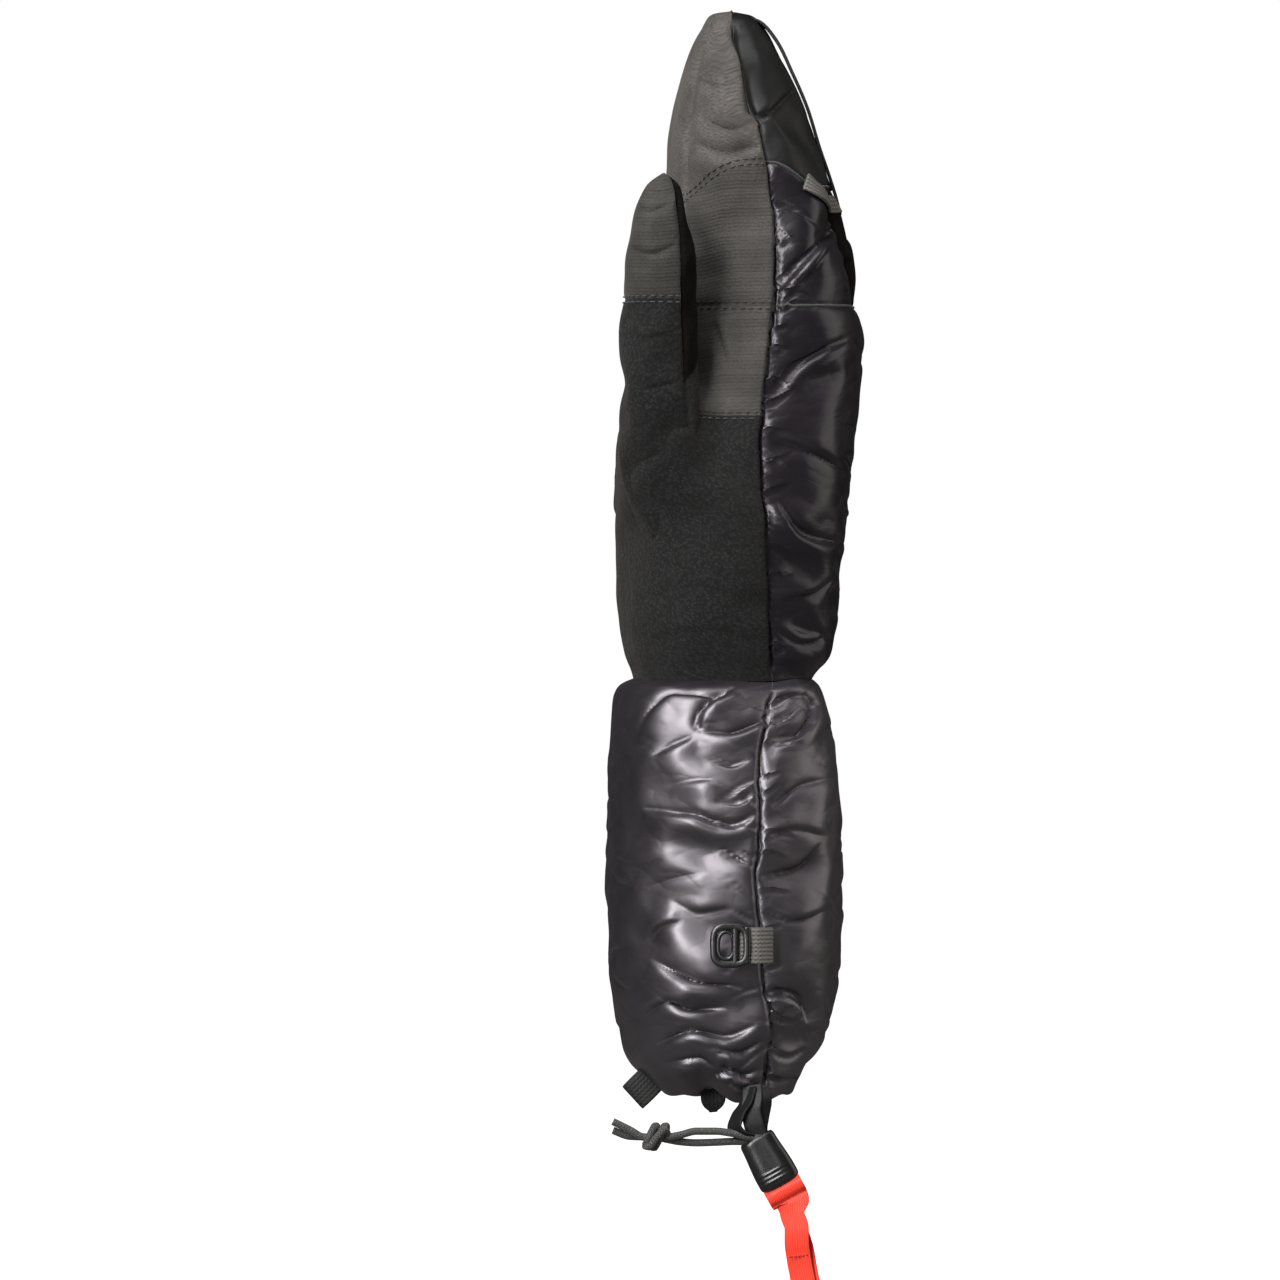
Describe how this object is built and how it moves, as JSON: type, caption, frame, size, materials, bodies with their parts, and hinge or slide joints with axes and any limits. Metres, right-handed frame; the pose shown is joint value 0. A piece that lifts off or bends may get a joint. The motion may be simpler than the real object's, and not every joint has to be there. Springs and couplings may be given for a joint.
{
  "type": "ski mitten",
  "caption": "Long insulated mitten with a puffy shell, textured palm and thumb, a wide gauntlet cuff, a ladder buckle and a one-hand hem cord lock.",
  "frame": {"origin": "centre of the hem opening, in the plane of the hem", "axes": "+Z from the hem to the fingertips, +X out of the back of the hand, -X out of the palm, -Y towards the thumb side"},
  "size_m": [0.094, 0.1585, 0.4862],
  "materials": {
    "shiny_shell": "glossy down-proof nylon",
    "ripstop": "matte ribbed woven nylon",
    "suede": "napped, matte",
    "down": "soft fill",
    "fleece": "brushed",
    "elastic": "matte",
    "black_webbing": "ribbed webbing",
    "grey_webbing": "ribbed webbing",
    "shock_cord": "braided",
    "buckle_plastic": "satin moulded",
    "lock_plastic": "satin moulded",
    "spring_steel": "wire",
    "red_webbing": "ribbed webbing"
  },
  "bodies": {
    "hand": {"back_shell_lower": "shiny_shell", "palm_suede": "suede", "knuckle_panel": "ripstop", "hand_down_fill": "down", "hand_lining": "fleece", "wrist_collar": "elastic"},
    "fingers": {"fingertip_cap": "ripstop", "back_tongue": "ripstop", "back_baffle_radial": "shiny_shell", "back_baffle_ulnar": "shiny_shell", "finger_palm_panel": "ripstop", "fingertip_patch": "ripstop", "finger_down_fill": "down", "finger_lining": "fleece", "hang_strap": "black_webbing", "strap_end_tack": "black_webbing"},
    "thumb": {"thumb_front_panel": "ripstop", "thumb_side_gusset": "suede", "thumb_suede_panel": "suede", "thumb_down_fill": "down", "thumb_lining": "fleece"},
    "gauntlet": {"gauntlet_palm_panel": "shiny_shell", "gauntlet_back_panel": "shiny_shell", "gauntlet_down_fill": "down", "gauntlet_lining": "fleece", "hem_facing": "elastic", "hem_drawcord": "shock_cord", "lock_anchor_tab": "shiny_shell", "pull_loop_palm": "black_webbing", "pull_loop_centre": "shock_cord", "buckle_tab": "grey_webbing"},
    "buckle": {"ladder_buckle": "buckle_plastic"},
    "cord_lock": {"lock_barrel": "lock_plastic", "lock_spring": "spring_steel"},
    "plunger": {"lock_plunger": "lock_plastic"},
    "pull_tab": {"red_pull_tab": "red_webbing"},
    "cord": {"drawcord_upper": "shock_cord", "drawcord_lower": "shock_cord", "stopper_knot": "shock_cord"}
  },
  "joints": [
    {"name": "finger_curl", "type": "hinge", "parent": "hand", "child": "fingers", "pos_m": [-0.028, 0, 0.2965], "axis": [0, -1, 0], "range_deg": [0, 50]},
    {"name": "thumb_swing", "type": "hinge", "parent": "hand", "child": "thumb", "pos_m": [-0.025, -0.056, 0.251], "axis": [0, -1, 0], "range_deg": [-5, 25]},
    {"name": "wrist_flex", "type": "hinge", "parent": "hand", "child": "gauntlet", "pos_m": [0, 0, 0.156], "axis": [0, -1, 0], "range_deg": [-20, 20]},
    {"name": "buckle_flip", "type": "hinge", "parent": "gauntlet", "child": "buckle", "pos_m": [0.008, -0.0676, 0.0592], "axis": [0, 0, 1], "range_deg": [0, 110]},
    {"name": "lock_swing", "type": "hinge", "parent": "gauntlet", "child": "cord_lock", "pos_m": [0.0113, -0.054, -0.0128], "axis": [-1, 0, 0], "range_deg": [-10, 45]},
    {"name": "plunger_pull", "type": "slide", "parent": "cord_lock", "child": "plunger", "axis": [0.4848, 0, -0.8746], "range_m": [0, 0.003], "stiffness_N_per_m": 400},
    {"name": "tab_swing", "type": "hinge", "parent": "plunger", "child": "pull_tab", "pos_m": [0.02352, -0.054, -0.03484], "axis": [-0.8746, 0, -0.4848], "range_deg": [-40, 60]},
    {"name": "cord_pull", "type": "slide", "parent": "cord_lock", "child": "cord", "axis": [-1, 0, 0], "range_m": [0, 0.008]}
  ]
}
